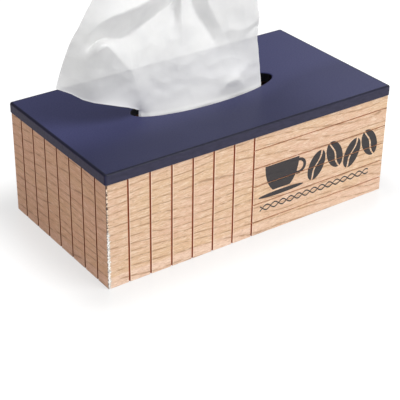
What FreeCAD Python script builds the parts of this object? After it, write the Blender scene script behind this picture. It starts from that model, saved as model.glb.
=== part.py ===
import FreeCAD, Part
import os

import Sketcher
from FreeCAD import Placement, Rotation, Vector

# A tissue box with a hinged lid.
#
# Four mitred wall boards with a grooved veneer face stand round a base board. A painted lid
# board with an oval slot turns on two small butt hinges at the back and reaches 195 degrees.
# A pack of tissues lies on the base, and one tissue stands up through the slot.
#
# Frame: the origin is the centre of the face the box rests on. X runs along the box,
# -Y is the front, +Y the hinge side and +Z is up. Millimetres.

SIZES = {
    # walls and base
    "wall_length": (250, "outside length of the box"),
    "wall_width": (132, "outside depth of the box"),
    "wall_height": (82, "height of the walls"),
    "core_thickness": (7, "board under the veneer"),
    "veneer_thickness": (1, "wood face of a wall"),
    "base_thickness": (4, "base board between the walls"),
    # grooves cut through the veneer
    "plank_groove": (1.4, "width of an upright groove"),
    "slat_groove": (1, "width of a level groove"),
    "plank_groove_count": (7, "upright grooves on each wall"),
    "slat_groove_count": (5, "level grooves on a long wall"),
    "corner_plank": (16.9, "long wall: corner to the middle of its first groove"),
    "half_shift": (2.2, "long wall: last upright groove, left of the middle"),
    "end_plank": (14.7, "end wall: corner to the middle of its first groove"),
    "edge_slat": (11, "long wall: top or bottom edge to the nearest level groove"),
    # lid
    "lid_thickness": (8, "lid board"),
    "lid_overhang": (1, "lid past the walls, all round"),
    "lid_corner_round": (2, "round of the lid's corners, seen from above"),
    "lid_edge_round": (1.5, "round of the lid's upper edges"),
    "lid_lower_round": (0.5, "round of the lid's lower edges"),
    "slot_length": (126, "oval slot along X"),
    "slot_width": (36, "oval slot along Y"),
    "slot_round": (0.8, "round of the slot's upper and lower rims"),
    # hinges
    "hinge_from_end": (38, "end of the box to the middle of a hinge"),
    "hinge_width": (22, "a hinge along its pin"),
    "leaf_thickness": (0.8, "sheet of a hinge leaf"),
    "leaf_reach": (6, "pin to the far edge of a leaf"),
    "pin_radius": (0.85, "hinge pin"),
    "pin_clearance": (0.05, "pin to its bore, all round"),
    "knuckle_gap": (0.2, "between knuckles, along the pin"),
    "knuckle_standoff": (0.3, "wall face to the near side of the knuckles"),
    "notch_margin": (1.25, "notch past a leaf at each side"),
    "notch_rise": (0.3, "notch past a leaf's far edge"),
    # hinge screws
    "screw_spacing": (13, "between the two screws of a leaf"),
    "screw_drop": (3.5, "pin to a screw, up or down"),
    "screw_head_radius": (1.5, "countersunk head"),
    "screw_shank_radius": (0.8, "shank"),
    "screw_length": (6, "head to point"),
    "screw_point": (1.2, "length of the point"),
    "screw_clearance": (0.05, "screw to its hole, all round"),
    "screw_pilot_extra": (0.3, "pilot hole past the point"),
    "cross_span": (1.7, "cross recess, tip to tip"),
    "cross_width": (0.4, "one arm of the cross recess"),
    "cross_depth": (0.4, "depth of the cross recess"),
    # tissues
    "pack_end_gap": (12, "pack of tissues to an end wall"),
    "pack_side_gap": (4, "pack of tissues to the front or back wall"),
    "pack_height": (42, "pack of tissues"),
    "pack_corner_round": (6, "upright corners of the pack"),
    "pack_edge_round": (3, "upper edges of the pack"),
    "sheet_thickness": (0.8, "plies of the pulled tissue together"),
    "sheet_front_gap": (10, "front of the slot to the pulled tissue, under the lid"),
    "sheet_lip_gap": (2.5, "front of the slot to the pulled tissue, at the lid's top"),
    "sheet_side_gap": (4, "end of the slot to the pulled tissue"),
    "sheet_pack_gap": (0.3, "pack to the pulled tissue"),
    "sheet_foot_width": (90, "pulled tissue where it leaves the pack"),
    "flap_rise": (34, "tip of the left flap above the lid"),
    "waist_rise": (70, "middle level of the pulled tissue above the lid"),
    "crown_rise": (113, "top of the pulled tissue above the lid, at the middle"),
    "crown_tilt": (3.6, "fall of the top edge to the right, in degrees"),
    "flap_reach": (55, "tip of the left flap past the end of the slot"),
    "waist_left": (113, "left edge at the middle level, from the middle of the box"),
    "crown_left": (95, "top left corner, from the middle of the box"),
    "sheet_right": (45, "right edge above the lid, from the middle of the box"),
    "left_fold": (0.25, "share of the pulled tissue's width left of its first fold"),
    "middle_fold": (0.5, "share left of the second fold"),
    "right_fold": (0.7, "share left of the third fold"),
}

# Where the pulled tissue's left edge, its three folds and its right edge stand at three levels
# above the lid: how far back from the middle of the box.
FOLD_DEPTHS = {
    "flap": (0, -11, -9, -9, -9),
    "waist": (-14, -9, 4, -2, -7),
    "crown": (-19, -11, 5, -5, -4),
}
for level, depths in FOLD_DEPTHS.items():
    for index, depth in enumerate(depths):
        SIZES[f"{level}_fold_{index}"] = (depth, f"edge or fold {index} at the {level}, back")

doc = FreeCAD.newDocument("tissue_box")
sheet = doc.addObject("Spreadsheet::Sheet", "Sizes")
for row, (alias, (value, meaning)) in enumerate(SIZES.items(), start=1):
    sheet.set(f"A{row}", meaning)
    sheet.set(f"B{row}", str(value))
    sheet.setAlias(f"B{row}", alias)
doc.recompute()

# Sizes that follow from the driving ones, as expressions for setExpression.
HALF_LENGTH = "(Sizes.wall_length / 2)"
HALF_WIDTH = "(Sizes.wall_width / 2)"
WALL_THICKNESS = "(Sizes.veneer_thickness + Sizes.core_thickness)"
LID_TOP = "(Sizes.wall_height + Sizes.lid_thickness)"
HINGE_X = f"({HALF_LENGTH} - Sizes.hinge_from_end)"
KNUCKLE_RADIUS = "(Sizes.pin_radius + Sizes.pin_clearance + Sizes.leaf_thickness)"
THICK_LEAF = "max(0; Sizes.leaf_thickness - Sizes.veneer_thickness)"
AXIS_OFFSET = f"({KNUCKLE_RADIUS} + Sizes.knuckle_standoff + {THICK_LEAF})"
KNUCKLE_WIDTH = "((Sizes.hinge_width - 2 * Sizes.knuckle_gap) / 3)"
NOTCH_HALF = "(Sizes.hinge_width / 2 + Sizes.notch_margin)"
NOTCH_HEIGHT = "(Sizes.leaf_reach + Sizes.notch_rise)"
LEAF_SEAT = f"({HALF_WIDTH} - Sizes.veneer_thickness)"
PILOT_RADIUS = "(Sizes.screw_shank_radius + Sizes.screw_clearance)"
PILOT_DEPTH = "(Sizes.screw_length - Sizes.leaf_thickness + Sizes.screw_pilot_extra)"


def number(expression):
    """Value of an expression over the sheet's sizes."""
    return float(sheet.evalExpression(expression))


def origin_feature(body, role):
    """One of the body's own base planes or axes."""
    return next(item for item in body.Origin.OriginFeatures if item.Role == role)


def new_body(label):
    """Empty body whose label names its file."""
    body = doc.addObject("PartDesign::Body", label)
    body.Label = label
    return body


def add_sketch(body, plane, offset=None):
    """Sketch on a base plane of the body. The offset's x, y and z are in the sketch's axes."""
    sketch = body.newObject("Sketcher::SketchObject", "Sketch")
    sketch.AttachmentSupport = [(origin_feature(body, plane), "")]
    sketch.MapMode = "FlatFace"
    for axis, expression in (offset or {}).items():
        sketch.setExpression(f"AttachmentOffset.Base.{axis}", expression)
    return sketch


def constrain(sketch, kind, *arguments, expression):
    """Constraint whose value is bound to the sheet."""
    index = sketch.addConstraint(Sketcher.Constraint(kind, *arguments, number(expression)))
    sketch.setExpression(f"Constraints[{index}]", expression)


def add_polygon(sketch, corners):
    """Closed outline. Each corner is an (x, y) pair of expressions, measured from the origin."""
    points = [Vector(number(x), number(y), 0) for x, y in corners]
    first = sketch.GeometryCount
    following = [first + (index + 1) % len(points) for index in range(len(points))]
    for index, start in enumerate(points):
        sketch.addGeometry(Part.LineSegment(start, points[following[index] - first]), False)
    for index, (x, y) in enumerate(corners):
        line = first + index
        sketch.addConstraint(Sketcher.Constraint("Coincident", line, 2, following[index], 1))
        constrain(sketch, "DistanceX", -1, 1, line, 1, expression=x)
        constrain(sketch, "DistanceY", -1, 1, line, 1, expression=y)


def add_rectangle(sketch, left, bottom, right, top):
    """Rectangle between two corners, as expressions."""
    add_polygon(sketch, [(left, bottom), (right, bottom), (right, top), (left, top)])


def add_circle(sketch, x, y, radius):
    """Circle at a point, as expressions."""
    circle = Part.Circle(Vector(number(x), number(y), 0), Vector(0, 0, 1), number(radius))
    index = sketch.addGeometry(circle, False)
    constrain(sketch, "DistanceX", -1, 1, index, 3, expression=x)
    constrain(sketch, "DistanceY", -1, 1, index, 3, expression=y)
    constrain(sketch, "Radius", index, expression=radius)


def add_oval(sketch, length, width):
    """Ellipse about the origin with its long axis along the sketch's X."""
    long_end = Vector(number(length) / 2, 0, 0)
    short_end = Vector(0, number(width) / 2, 0)
    oval = sketch.addGeometry(Part.Ellipse(long_end, short_end, Vector(0, 0, 0)), False)
    long_axis, short_axis = oval + 1, oval + 2
    sketch.exposeInternalGeometry(oval)
    sketch.addConstraint(Sketcher.Constraint("Coincident", oval, 3, -1, 1))
    sketch.addConstraint(Sketcher.Constraint("Horizontal", long_axis))
    constrain(sketch, "Distance", long_axis, expression=length)
    constrain(sketch, "Distance", short_axis, expression=width)


def finish_feature(body, feature):
    """Make a new feature the body's result and compute it."""
    body.Tip = feature
    doc.recompute()
    return feature


def pad(body, sketch, length, both_sides=False):
    """Extrude a sketch along its normal, or evenly to both sides of it."""
    feature = body.newObject("PartDesign::Pad", "Pad")
    feature.Profile = sketch
    feature.Midplane = both_sides
    feature.setExpression("Length", length)
    return finish_feature(body, feature)


def cut_through(body, sketch):
    """Cut a sketch's outline right through the body."""
    feature = body.newObject("PartDesign::Pocket", "Pocket")
    feature.Profile = sketch
    feature.Type = "ThroughAll"
    feature.Midplane = True
    return finish_feature(body, feature)


def cut(body, sketch, depth, both_sides=False, along_normal=False):
    """Cut a sketch's outline to a depth, against its normal unless told otherwise."""
    feature = body.newObject("PartDesign::Pocket", "Pocket")
    feature.Profile = sketch
    feature.Midplane = both_sides
    feature.Reversed = along_normal
    feature.setExpression("Length", depth)
    return finish_feature(body, feature)


def loft(body, sections):
    """Straight-sided solid through outlines that have equal numbers of corners."""
    feature = body.newObject("PartDesign::AdditiveLoft", "Loft")
    feature.Profile = sections[0]
    feature.Sections = sections[1:]
    feature.Ruled = True
    return finish_feature(body, feature)


def turn(body, sketch, kind):
    """Full revolution, added or cut away, about the sketch's upright axis."""
    feature = body.newObject(f"PartDesign::{kind}", kind)
    feature.Profile = sketch
    feature.ReferenceAxis = (sketch, ["V_Axis"])
    feature.Angle = 360
    return finish_feature(body, feature)


def repeat(body, feature, axis, length, count):
    """Row of copies of a feature along a base axis, over a length."""
    pattern = body.newObject("PartDesign::LinearPattern", "LinearPattern")
    pattern.Originals = [feature]
    pattern.Direction = (origin_feature(body, axis), [""])
    pattern.setExpression("Length", length)
    pattern.setExpression("Occurrences", count)
    return finish_feature(body, pattern)


def mirror(body, features):
    """Copies of features on the other side of the body's middle plane across X."""
    mirrored = body.newObject("PartDesign::Mirrored", "Mirrored")
    mirrored.Originals = features
    mirrored.MirrorPlane = (origin_feature(body, "YZ_Plane"), [""])
    return finish_feature(body, mirrored)


def round_edges(body, radius, wanted):
    """Round the edges of the body's result for which wanted(edge bounds) is true."""
    base = body.Tip
    names = []
    for index, edge in enumerate(base.Shape.Edges, start=1):
        if wanted(edge.BoundBox):
            names.append(f"Edge{index}")
    feature = body.newObject("PartDesign::Fillet", "Fillet")
    feature.Base = (base, names)
    feature.setExpression("Radius", radius)
    return finish_feature(body, feature)


def is_upright(bounds):
    """True for an edge that runs only along Z."""
    return bounds.XLength < bounds.ZLength and bounds.YLength < bounds.ZLength


def lies_at(height):
    """Test for edges that lie flat at a height."""
    level = number(height)
    return lambda bounds: max(abs(bounds.ZMin - level), abs(bounds.ZMax - level)) < 1e-4


def place(body, x="0", y="0", z="0", turned=Rotation()):
    """Put the body in the box's frame, with its place bound to the sheet."""
    body.Placement = Placement(Vector(0, 0, 0), turned)
    for axis, expression in (("x", x), ("y", y), ("z", z)):
        body.setExpression(f"Placement.Base.{axis}", expression)
    doc.recompute()


# ---------------------------------------------------------------- walls and base

# A wall is drawn as the front one: outer face on y = 0, thickness towards +y, middle at x = 0.
# Its name, its length and where its outer face stands in the box.
WALLS = [
    ("front", "Sizes.wall_length", {"y": f"-{HALF_WIDTH}"}),
    ("back", "Sizes.wall_length", {"y": HALF_WIDTH}),
    ("left", "Sizes.wall_width", {"x": f"-{HALF_LENGTH}"}),
    ("right", "Sizes.wall_width", {"x": HALF_LENGTH}),
]
HINGE_SIDES = (("left", f"-{HINGE_X}"), ("right", HINGE_X))
CAVITY_HALF_LENGTH = f"({HALF_LENGTH} - {WALL_THICKNESS})"
CAVITY_HALF_WIDTH = f"({HALF_WIDTH} - {WALL_THICKNESS})"


def facing(name):
    """Turn about Z that points a wall's outer face outwards."""
    degrees = {"front": 0, "back": 180, "left": -90, "right": 90}[name]
    return Rotation(Vector(0, 0, 1), degrees)


def mitred_board(label, length, outer, inner):
    """Board between two depths behind the wall's outer face, with its ends cut at 45 degrees."""
    body = new_body(label)
    sketch = add_sketch(body, "XY_Plane")
    half = f"{length} / 2"
    add_polygon(sketch, [
        (f"-({half} - {outer})", outer),
        (f"{half} - {outer}", outer),
        (f"{half} - {inner}", inner),
        (f"-({half} - {inner})", inner),
    ])
    pad(body, sketch, "Sizes.wall_height")
    return body


def wall_board(name, length):
    """Board under the veneer. The back one has pilot holes for the hinge screws."""
    body = mitred_board(f"{name}_wall", length, "Sizes.veneer_thickness", WALL_THICKNESS)
    if name == "back":
        holes = add_sketch(body, "XZ_Plane")
        for _, hinge_x in HINGE_SIDES:
            for side in ("-", "+"):
                x = f"{hinge_x} {side} Sizes.screw_spacing / 2"
                add_circle(holes, x, "Sizes.wall_height - Sizes.screw_drop", PILOT_RADIUS)
        cut(body, holes, f"Sizes.veneer_thickness + {PILOT_DEPTH}")
    return body


def cut_planks(body, first, last):
    """Upright grooves at even steps from the first place to the last."""
    groove = add_sketch(body, "XZ_Plane")
    half = "Sizes.plank_groove / 2"
    add_rectangle(groove, f"{first} - {half}", "0", f"{first} + {half}", "Sizes.wall_height")
    feature = cut_through(body, groove)
    repeat(body, feature, "X_Axis", f"{last} - ({first})", "Sizes.plank_groove_count")


def cut_slats(body, left, right):
    """Level grooves at even steps, between two places along the wall."""
    groove = add_sketch(body, "XZ_Plane")
    half = "Sizes.slat_groove / 2"
    add_rectangle(groove, left, f"Sizes.edge_slat - {half}", right, f"Sizes.edge_slat + {half}")
    feature = cut_through(body, groove)
    spread = "Sizes.wall_height - 2 * Sizes.edge_slat"
    repeat(body, feature, "Z_Axis", spread, "Sizes.slat_groove_count")


def wall_veneer(name, length):
    """Wood face of a wall, cut by its grooves into planks and slats."""
    body = mitred_board(f"{name}_veneer", length, "0", "Sizes.veneer_thickness")
    corner = f"{length} / 2"
    if name in ("left", "right"):
        cut_planks(body, f"-({corner} - Sizes.end_plank)", f"{corner} - Sizes.end_plank")
    else:
        cut_planks(body, f"-({corner} - Sizes.corner_plank)", "-Sizes.half_shift")
        cut_slats(body, "-Sizes.half_shift", corner)
    if name == "back":
        notches = add_sketch(body, "XZ_Plane")
        for _, hinge_x in HINGE_SIDES:
            add_rectangle(
                notches,
                f"{hinge_x} - {NOTCH_HALF}",
                f"Sizes.wall_height - {NOTCH_HEIGHT}",
                f"{hinge_x} + {NOTCH_HALF}",
                "Sizes.wall_height",
            )
        cut_through(body, notches)
    return body


def base_panel():
    """Board between the walls, level with their lower edges."""
    body = new_body("base_panel")
    sketch = add_sketch(body, "XY_Plane")
    x, y = CAVITY_HALF_LENGTH, CAVITY_HALF_WIDTH
    add_rectangle(sketch, f"-{x}", f"-{y}", x, y)
    pad(body, sketch, "Sizes.base_thickness")
    return body


# ---------------------------------------------------------------- lid

def lid_panel():
    """Lid board, drawn with its lower face at z = 0: oval slot and two hinge notches."""
    body = new_body("lid_panel")
    outline = add_sketch(body, "XY_Plane")
    x = f"({HALF_LENGTH} + Sizes.lid_overhang)"
    y = f"({HALF_WIDTH} + Sizes.lid_overhang)"
    add_rectangle(outline, f"-{x}", f"-{y}", x, y)
    pad(body, outline, "Sizes.lid_thickness")
    round_edges(body, "Sizes.lid_corner_round", is_upright)
    round_edges(body, "Sizes.lid_edge_round", lies_at("Sizes.lid_thickness"))
    round_edges(body, "Sizes.lid_lower_round", lies_at("0"))

    slot = add_sketch(body, "XY_Plane")
    add_oval(slot, "Sizes.slot_length", "Sizes.slot_width")
    cut(body, slot, "Sizes.lid_thickness", along_normal=True)
    reach = number("Sizes.slot_length / 2 + Sizes.slot_round")
    round_edges(
        body,
        "Sizes.slot_round",
        lambda bounds: bounds.ZLength < 1e-4 and -reach < bounds.XMin and bounds.XMax < reach,
    )

    notches = add_sketch(body, "XY_Plane")
    for _, hinge_x in HINGE_SIDES:
        add_rectangle(notches, f"{hinge_x} - {NOTCH_HALF}", LEAF_SEAT, f"{hinge_x} + {NOTCH_HALF}", y)
    cut(body, notches, NOTCH_HEIGHT, along_normal=True)

    holes = add_sketch(body, "XZ_Plane", {"z": f"-{LEAF_SEAT}"})
    for _, hinge_x in HINGE_SIDES:
        for side in ("-", "+"):
            x = f"{hinge_x} {side} Sizes.screw_spacing / 2"
            add_circle(holes, x, "Sizes.screw_drop", PILOT_RADIUS)
    cut(body, holes, PILOT_DEPTH, along_normal=True)
    place(body, z="Sizes.wall_height")
    return body


# ---------------------------------------------------------------- hinges

# A hinge is drawn about its pin: the pin's axis is X, and a leaf hangs down on the wall side.
LEAF_BACK = f"(-({AXIS_OFFSET} + Sizes.veneer_thickness))"
LEAF_FACE = f"({LEAF_BACK} + Sizes.leaf_thickness)"
WEB_LOW = f"(-{KNUCKLE_RADIUS})"
WEB_HIGH = f"({WEB_LOW} + Sizes.leaf_thickness)"


def hinge_leaf(label, outer_knuckles):
    """Plate, a step outwards and the rolled knuckles: the two outer ones or the middle one."""
    body = new_body(label)
    plate = add_sketch(body, "YZ_Plane")
    add_rectangle(plate, LEAF_BACK, "-Sizes.leaf_reach", LEAF_FACE, WEB_HIGH)
    pad(body, plate, "Sizes.hinge_width", both_sides=True)

    knuckle_span = "Sizes.hinge_width" if outer_knuckles else KNUCKLE_WIDTH
    web = add_sketch(body, "YZ_Plane")
    add_rectangle(web, LEAF_BACK, WEB_LOW, "0", WEB_HIGH)
    pad(body, web, knuckle_span, both_sides=True)
    roll = add_sketch(body, "YZ_Plane")
    add_circle(roll, "0", "0", KNUCKLE_RADIUS)
    pad(body, roll, knuckle_span, both_sides=True)
    if outer_knuckles:
        gap = add_sketch(body, "YZ_Plane")
        add_rectangle(gap, LEAF_FACE, WEB_LOW, KNUCKLE_RADIUS, KNUCKLE_RADIUS)
        cut(body, gap, f"{KNUCKLE_WIDTH} + 2 * Sizes.knuckle_gap", both_sides=True)
    bore = add_sketch(body, "YZ_Plane")
    add_circle(bore, "0", "0", "Sizes.pin_radius + Sizes.pin_clearance")
    cut_through(body, bore)

    seat = add_sketch(body, "XY_Plane", {"x": "Sizes.screw_spacing / 2", "z": "-Sizes.screw_drop"})
    add_polygon(seat, [
        ("0", LEAF_BACK),
        (PILOT_RADIUS, LEAF_BACK),
        ("Sizes.screw_head_radius + Sizes.screw_clearance", LEAF_FACE),
        ("0", LEAF_FACE),
    ])
    mirror(body, [turn(body, seat, "Groove")])
    return body


def hinge_pin(label):
    """Plain pin, as long as the hinge is wide."""
    body = new_body(label)
    section = add_sketch(body, "YZ_Plane")
    add_circle(section, "0", "0", "Sizes.pin_radius")
    pad(body, section, "Sizes.hinge_width", both_sides=True)
    return body


def leaf_screws(label):
    """The two countersunk screws of a leaf, drawn with the heads on y = 0 and points to -y."""
    body = new_body(label)
    profile = add_sketch(body, "XY_Plane", {"x": "Sizes.screw_spacing / 2"})
    add_polygon(profile, [
        ("0", "0"),
        ("0", "-Sizes.screw_length"),
        ("Sizes.screw_shank_radius", "-(Sizes.screw_length - Sizes.screw_point)"),
        ("Sizes.screw_shank_radius", "-Sizes.leaf_thickness"),
        ("Sizes.screw_head_radius", "0"),
    ])
    screw = turn(body, profile, "Revolution")
    arm, half = "Sizes.cross_span / 2", "Sizes.cross_width / 2"
    cross = add_sketch(body, "XZ_Plane", {"x": "Sizes.screw_spacing / 2"})
    add_polygon(cross, [
        (half, f"-{arm}"), (half, f"-{half}"), (arm, f"-{half}"),
        (arm, half), (half, half), (half, arm),
        (f"-{half}", arm), (f"-{half}", half), (f"-{arm}", half),
        (f"-{arm}", f"-{half}"), (f"-{half}", f"-{half}"), (f"-{half}", f"-{arm}"),
    ])
    recess = cut(body, cross, "Sizes.cross_depth", along_normal=True)
    mirror(body, [screw, recess])
    return body


def hinge(side, hinge_x):
    """One butt hinge with its pin and four screws, at the joint between wall and lid."""
    axis = {"x": hinge_x, "y": f"{HALF_WIDTH} + {AXIS_OFFSET}", "z": "Sizes.wall_height"}
    wall_leaf = hinge_leaf(f"{side}_hinge_wall_leaf", outer_knuckles=True)
    place(wall_leaf, **axis)
    lid_leaf = hinge_leaf(f"{side}_hinge_lid_leaf", outer_knuckles=False)
    place(lid_leaf, **axis, turned=Rotation(Vector(0, 1, 0), 180))
    pin = hinge_pin(f"{side}_hinge_pin")
    place(pin, **axis)

    head = f"{LEAF_SEAT} + Sizes.leaf_thickness"
    wall_screws = leaf_screws(f"{side}_hinge_wall_screws")
    place(wall_screws, hinge_x, head, "Sizes.wall_height - Sizes.screw_drop")
    lid_screws = leaf_screws(f"{side}_hinge_lid_screws")
    place(lid_screws, hinge_x, head, "Sizes.wall_height + Sizes.screw_drop")
    return [wall_leaf, lid_leaf, pin, wall_screws, lid_screws]


# ---------------------------------------------------------------- tissues

PACK_TOP = "(Sizes.base_thickness + Sizes.pack_height)"
SHEET_FORWARD = "(Sizes.slot_width / 2 - Sizes.sheet_front_gap)"
FOLD_SHARES = ("0", "Sizes.left_fold", "Sizes.middle_fold", "Sizes.right_fold", "1")


def tissue_pack():
    """Stack of folded tissues on the base."""
    body = new_body("tissue_pack")
    outline = add_sketch(body, "XY_Plane")
    x = f"({CAVITY_HALF_LENGTH} - Sizes.pack_end_gap)"
    y = f"({CAVITY_HALF_WIDTH} - Sizes.pack_side_gap)"
    add_rectangle(outline, f"-{x}", f"-{y}", x, y)
    pad(body, outline, "Sizes.pack_height")
    round_edges(body, "Sizes.pack_corner_round", is_upright)
    round_edges(body, "Sizes.pack_edge_round", lies_at("Sizes.pack_height"))
    place(body, z="Sizes.base_thickness")
    return body


def sheet_section(body, level, left, right, depth, tilt="0"):
    """Outline of the pulled tissue at a level, with a corner at each edge and fold.

    The depth is a function of the fold's number and of its x.
    """
    section = add_sketch(body, "XY_Plane", {"z": level})
    section.AttachmentOffset.Rotation.Axis = Vector(0, 1, 0)
    section.setExpression("AttachmentOffset.Rotation.Angle", f"{tilt} * 1 deg")
    front, back = [], []
    for index, share in enumerate(FOLD_SHARES):
        x = f"({left} + {share} * ({right} - {left}))"
        front.append((x, f"{depth(index, x)} - Sizes.sheet_thickness / 2"))
        back.append((x, f"{depth(index, x)} + Sizes.sheet_thickness / 2"))
    add_polygon(section, front + back[::-1])
    return section


def pulled_tissue():
    """Folded tissue from the pack through the slot, with a flap out to the left."""
    body = new_body("pulled_tissue")

    def straight(index, x):
        return f"-{SHEET_FORWARD}"

    def along_slot(index, x):
        share = f"({x} / (Sizes.slot_length / 2 - Sizes.sheet_side_gap / 2))"
        return f"-(Sizes.slot_width / 2 - Sizes.sheet_lip_gap) * sqrt(1 - {share} * {share})"

    foot = "(Sizes.sheet_foot_width / 2)"
    share = f"(2 * {SHEET_FORWARD} / Sizes.slot_width)"
    neck = f"(Sizes.slot_length / 2 * sqrt(1 - {share} * {share}) - Sizes.sheet_side_gap)"
    lip = "(Sizes.slot_length / 2 - Sizes.sheet_side_gap)"
    tip = "(Sizes.slot_length / 2 + Sizes.flap_reach)"
    sections = [
        sheet_section(body, f"{PACK_TOP} + Sizes.sheet_pack_gap", f"-{foot}", foot, straight),
        sheet_section(body, "Sizes.wall_height", f"-{neck}", neck, straight),
        sheet_section(body, LID_TOP, f"-{lip}", "Sizes.sheet_right", along_slot),
    ]
    for level, left, tilt in (
        ("flap", tip, "0"),
        ("waist", "Sizes.waist_left", "0"),
        ("crown", "Sizes.crown_left", "Sizes.crown_tilt"),
    ):
        sections.append(sheet_section(
            body, f"{LID_TOP} + Sizes.{level}_rise", f"-{left}", "Sizes.sheet_right",
            lambda index, x: f"Sizes.{level}_fold_{index}", tilt,
        ))
    loft(body, sections)
    return body


# ---------------------------------------------------------------- assembly

pieces = []
for name, length, seat in WALLS:
    for piece in (wall_board(name, length), wall_veneer(name, length)):
        place(piece, **seat, turned=facing(name))
        pieces.append(piece)
pieces.append(base_panel())
pieces.append(lid_panel())
for side, hinge_x in HINGE_SIDES:
    pieces.extend(hinge(side, hinge_x))
pieces.append(tissue_pack())
pieces.append(pulled_tissue())
doc.recompute()

for item in doc.Objects:
    if "Invalid" in item.State or "Error" in item.State:
        raise RuntimeError(f"{item.Name} failed: {item.State}")
    if item.TypeId in ("PartDesign::Pocket", "PartDesign::Groove"):
        removed = item.BaseFeature.Shape.Volume - item.Shape.Volume
        if removed <= 0:
            raise RuntimeError(f"{item.Name} cuts nothing")
for piece in pieces:
    if piece.Shape.isNull() or not piece.Shape.isValid():
        raise RuntimeError(f"{piece.Label} has no valid shape")

os.makedirs("parts", exist_ok=True)
for piece in pieces:
    piece.Shape.exportStep(f"parts/{piece.Label}.step")
    bounds = piece.Shape.BoundBox
    print(
        f"{piece.Label:26s} {len(piece.Shape.Solids):3d} solids {piece.Shape.Volume:12.2f} mm3"
        f"  x {bounds.XMin:8.2f} {bounds.XMax:8.2f}"
        f"  y {bounds.YMin:7.2f} {bounds.YMax:7.2f}"
        f"  z {bounds.ZMin:7.2f} {bounds.ZMax:7.2f}"
    )
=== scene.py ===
"""A tissue box of wood-faced board with a hinged navy lid and a tissue pulled up through its slot."""

import math

import bpy
import numpy as np
from mathutils import Matrix, Vector, noise


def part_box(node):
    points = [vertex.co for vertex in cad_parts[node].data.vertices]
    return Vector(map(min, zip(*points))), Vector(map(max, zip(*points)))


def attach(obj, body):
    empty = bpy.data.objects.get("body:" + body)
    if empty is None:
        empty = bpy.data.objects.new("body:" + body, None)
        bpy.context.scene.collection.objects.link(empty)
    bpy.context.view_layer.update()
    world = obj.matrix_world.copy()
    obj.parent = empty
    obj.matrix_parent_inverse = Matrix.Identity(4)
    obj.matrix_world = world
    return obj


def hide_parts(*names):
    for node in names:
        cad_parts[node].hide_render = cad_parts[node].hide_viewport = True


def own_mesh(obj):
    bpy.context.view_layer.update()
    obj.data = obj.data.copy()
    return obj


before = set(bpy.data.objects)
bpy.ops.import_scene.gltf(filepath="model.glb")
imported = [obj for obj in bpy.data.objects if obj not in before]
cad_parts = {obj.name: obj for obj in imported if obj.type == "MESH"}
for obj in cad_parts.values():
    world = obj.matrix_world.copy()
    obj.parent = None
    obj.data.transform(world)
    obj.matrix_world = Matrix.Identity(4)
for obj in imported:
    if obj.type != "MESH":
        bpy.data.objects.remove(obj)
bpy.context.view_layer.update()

MM = 0.001


def top_corner(node):
    """The highest corner of a CAD node at rest, in metres, to a micrometre."""
    return [round(value, 6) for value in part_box(node)[1]]


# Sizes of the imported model, in metres. The first come from the frame.
HALF_LENGTH, HALF_WIDTH, WALL_TOP = top_corner("back_veneer")
LID_HALF_LENGTH, LID_HALF_WIDTH, LID_TOP = top_corner("lid_panel")
PACK_TOP = top_corner("tissue_pack")[2]
VENEER = round(HALF_WIDTH - top_corner("back_wall")[1], 6)
SLOT_HALF_LENGTH = 0.063
SLOT_HALF_WIDTH = 0.018
GROOVE = 0.0014
# from the end of a long wall, and of an end wall, to the middle of its first upright groove
CORNER_PLANK = 0.0169
END_CORNER_PLANK = 0.0147
# from the middle of a long wall to its last upright groove
MIDDLE_GROOVE = 0.0022
# steps from the first upright groove to the last
GROOVE_STEPS = 6

# The photograph's camera. Its picture is 400 by 400 pixels.
PICTURE = 400
EYE = Vector((-0.4796, -0.6670, 0.4771))
AZIMUTH = math.radians(35.62)
ELEVATION = math.radians(30.22)
ROLL = math.radians(0.80)
FOCAL_PIXELS = 1221.1
SENSOR_MM = 36.0

AHEAD = Vector((
    math.sin(AZIMUTH) * math.cos(ELEVATION),
    math.cos(AZIMUTH) * math.cos(ELEVATION),
    -math.sin(ELEVATION),
))
LEVEL_RIGHT = AHEAD.cross(Vector((0, 0, 1))).normalized()
LEVEL_UP = LEVEL_RIGHT.cross(AHEAD)
RIGHT = math.cos(ROLL) * LEVEL_RIGHT + math.sin(ROLL) * LEVEL_UP
UP = -math.sin(ROLL) * LEVEL_RIGHT + math.cos(ROLL) * LEVEL_UP


def rgb(red, green, blue):
    """A display colour, 0 to 255, as the linear colour that a shader takes."""
    def linear(value):
        value /= 255
        return value / 12.92 if value <= 0.04045 else ((value + 0.055) / 1.055) ** 2.4

    return (linear(red), linear(green), linear(blue), 1.0)


# ---------------------------------------------------------------- shaders


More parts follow.
